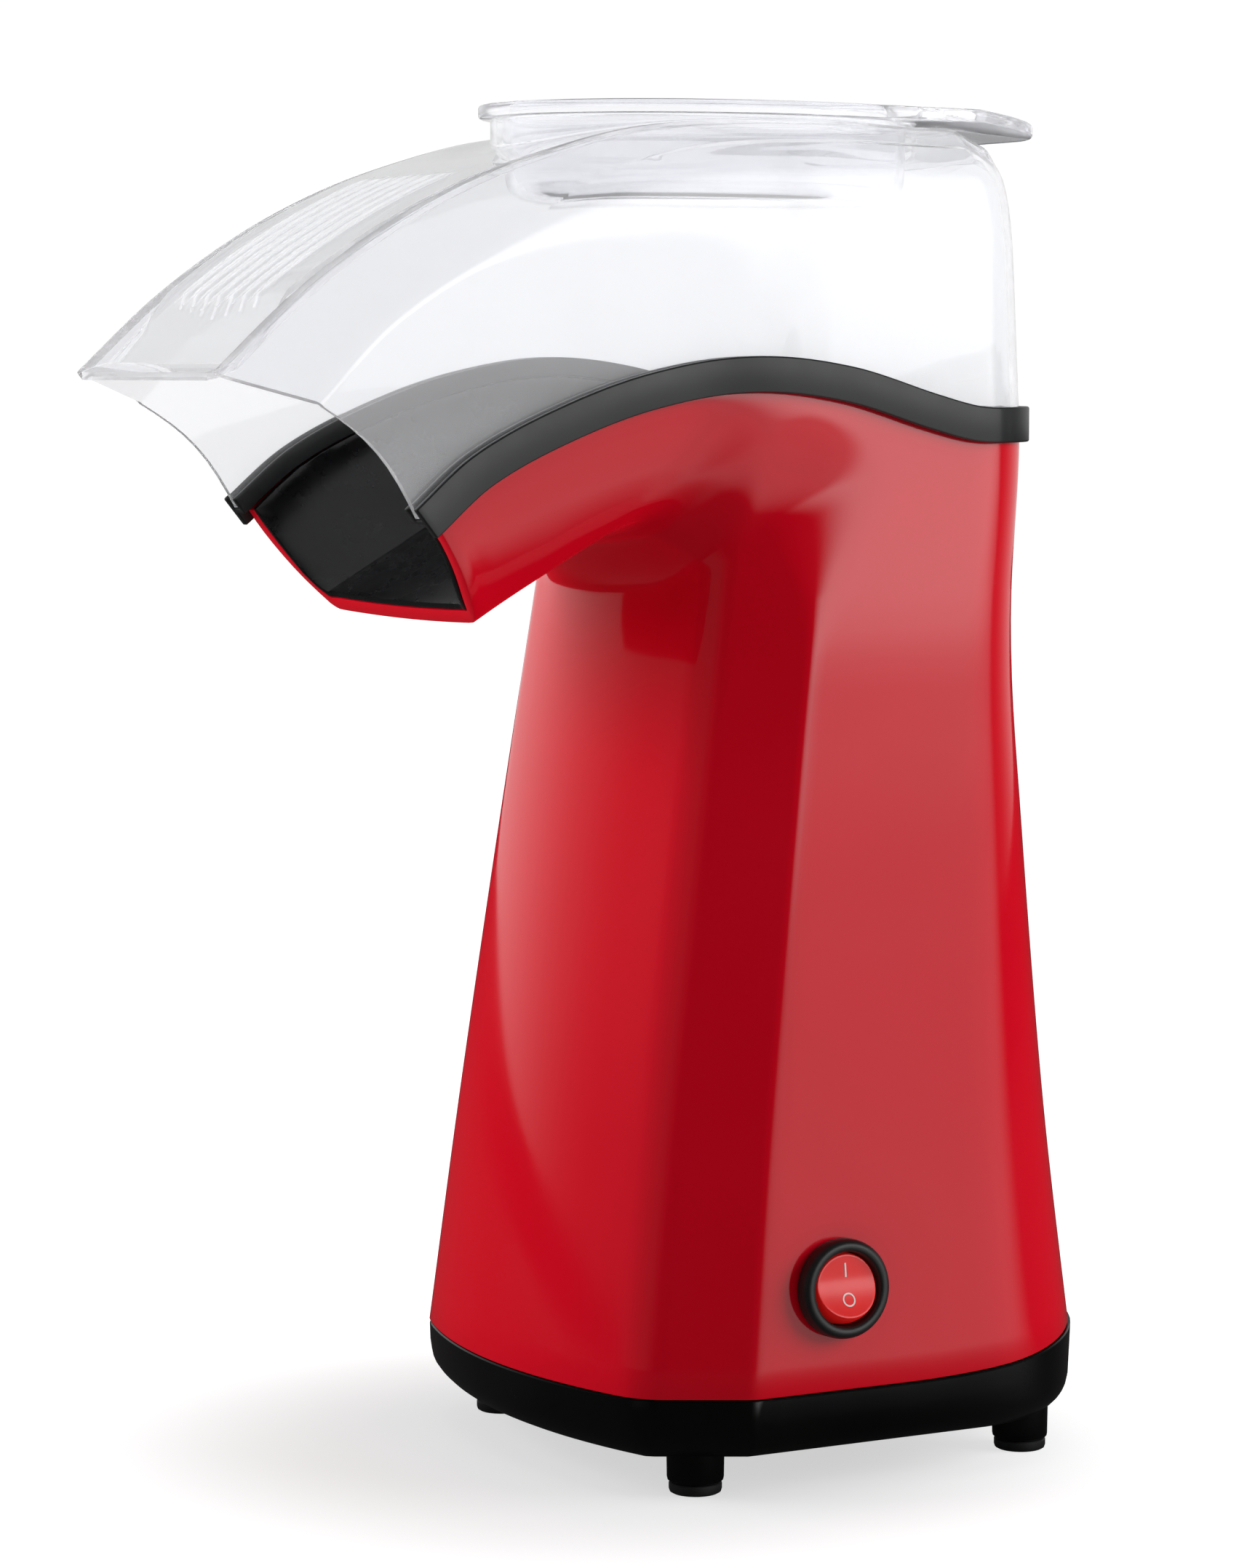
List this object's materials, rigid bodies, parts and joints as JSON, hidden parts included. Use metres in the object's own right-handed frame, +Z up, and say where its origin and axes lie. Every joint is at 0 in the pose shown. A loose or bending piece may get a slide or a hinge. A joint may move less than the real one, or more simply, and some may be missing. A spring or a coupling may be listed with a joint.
{
  "type": "hot-air popcorn maker",
  "caption": "Tall hot-air popcorn maker: a tapered tower that bends into a forward chute, under a clear lift-off hood with an oval measuring cap, on a black base with a round side switch.",
  "frame": {"origin": "on the table, under the middle of the whole part's footprint", "axes": "+Z up; -Y towards the chute's mouth; +X towards the side with the rocker switch"},
  "size_m": [0.1579, 0.2604, 0.3599],
  "materials": {
    "housing": "moulded gloss",
    "base": "fine satin grain",
    "rubber": "matt",
    "band": "matt",
    "liner": "satin",
    "aluminium": "drawn, dull",
    "steel": "plain sheet",
    "mica": "layered, dull",
    "nylon": "natural",
    "brass": "stamped",
    "magnet": "sintered",
    "board": "laminate",
    "fitting": "satin",
    "wire": "sleeve",
    "clear": "polished clear plastic",
    "rocker": "translucent gloss",
    "winding": "lacquered wire"
  },
  "bodies": {
    "base": {"housing": "housing", "base_pan": "base", "foot_pad_front_right": "rubber", "foot_pad_front_left": "rubber", "foot_pad_rear_right": "rubber", "foot_pad_rear_left": "rubber", "trim_band": "band", "chute_liner": "liner", "popping_chamber": "aluminium", "air_duct": "steel", "heater_frame": "mica", "heater_coil": "steel", "thermostat": "nylon", "thermal_fuse": "nylon", "motor_plate": "steel", "motor_can": "steel", "motor_end_bell": "nylon", "motor_bearing_upper": "brass", "motor_bearing_lower": "brass", "motor_magnet_right": "magnet", "motor_magnet_left": "magnet", "rectifier_board": "board", "diode_bridge": "fitting", "switch_bezel": "fitting", "switch_body": "fitting", "switch_terminal_live": "brass", "switch_terminal_load": "brass", "cord_gland": "rubber", "wire_gland_to_switch": "wire", "wire_gland_to_board": "wire", "wire_switch_to_thermostat": "wire", "wire_thermostat_to_fuse": "wire", "wire_fuse_to_heater": "wire", "base_screw_1": "steel", "base_screw_2": "steel", "base_screw_3": "steel", "base_screw_4": "steel", "chamber_screw_1": "steel", "chamber_screw_2": "steel", "chamber_screw_3": "steel", "chamber_screw_4": "steel", "motor_screw_1": "steel", "motor_screw_2": "steel"},
    "hood": {"hood": "clear"},
    "cap": {"measuring_cap": "clear"},
    "rocker": {"rocker": "rocker"},
    "fan": {"fan_impeller": "aluminium", "motor_shaft": "steel", "rotor": "winding"}
  },
  "joints": [
    {"name": "hood_lift", "type": "slide", "parent": "base", "child": "hood", "axis": [0, 0, 1], "range_m": [0, 0.09]},
    {"name": "cap_lift", "type": "slide", "parent": "hood", "child": "cap", "axis": [0, 0, 1], "range_m": [0, 0.06]},
    {"name": "rocker_tilt", "type": "hinge", "parent": "base", "child": "rocker", "pos_m": [0.07486, 0.0305, 0.05423], "axis": [0, 1, 0], "range_deg": [0, 24]},
    {"name": "fan_spin", "type": "hinge", "parent": "base", "child": "fan", "pos_m": [0, 0.0488, 0.09], "axis": [0, 0, 1], "continuous": true}
  ]
}
